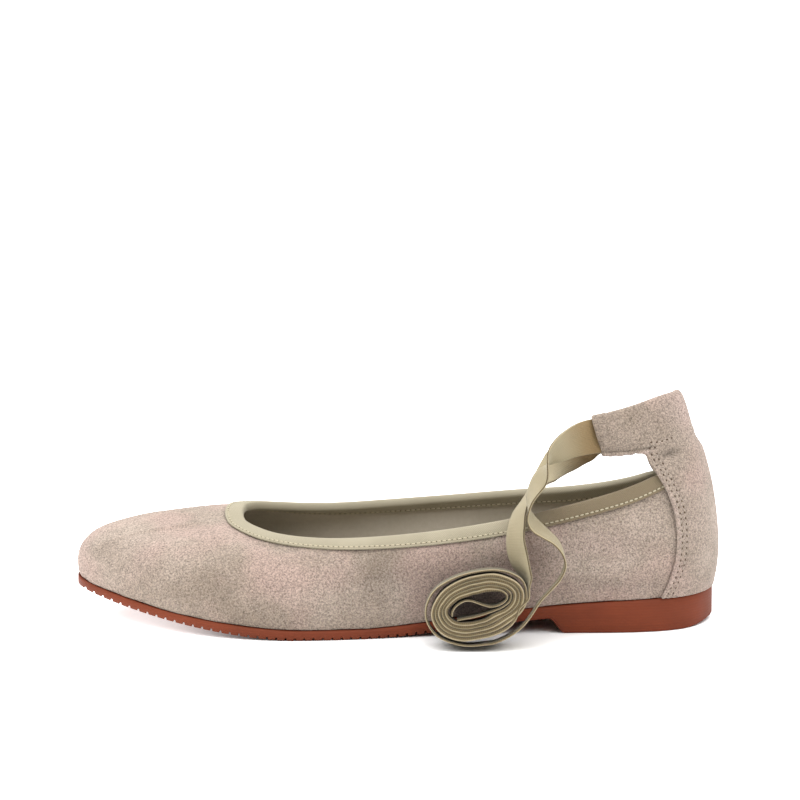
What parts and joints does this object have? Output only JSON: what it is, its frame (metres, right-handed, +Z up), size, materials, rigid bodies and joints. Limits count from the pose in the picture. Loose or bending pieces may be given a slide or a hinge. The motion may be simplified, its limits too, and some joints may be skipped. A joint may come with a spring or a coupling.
{
  "type": "ballet flat",
  "caption": "Suede ballet flat with a low rubber heel, an ankle casing at the back and an elastic tape wound up beside it.",
  "frame": {"origin": "on the floor, under the middle of the shoe without its tape", "axes": "+X from the toe to the heel, +Y to the inner side of the foot, +Z up"},
  "size_m": [0.2522, 0.0988, 0.0908],
  "materials": {
    "outsole": "terracotta rubber, matt",
    "insole": "grey-taupe, smooth",
    "upper": "rosy taupe suede",
    "topline_binding": "khaki woven elastic",
    "heel_panel": "rosy taupe suede",
    "tape": "khaki elastic tape, satin",
    "tape_roll": "khaki elastic tape, satin"
  },
  "bodies": {
    "root": {"outsole": "outsole", "insole": "insole", "upper": "upper", "topline_binding": "topline_binding", "heel_panel": "heel_panel", "tape": "tape", "tape_roll": "tape_roll"}
  },
  "joints": []
}
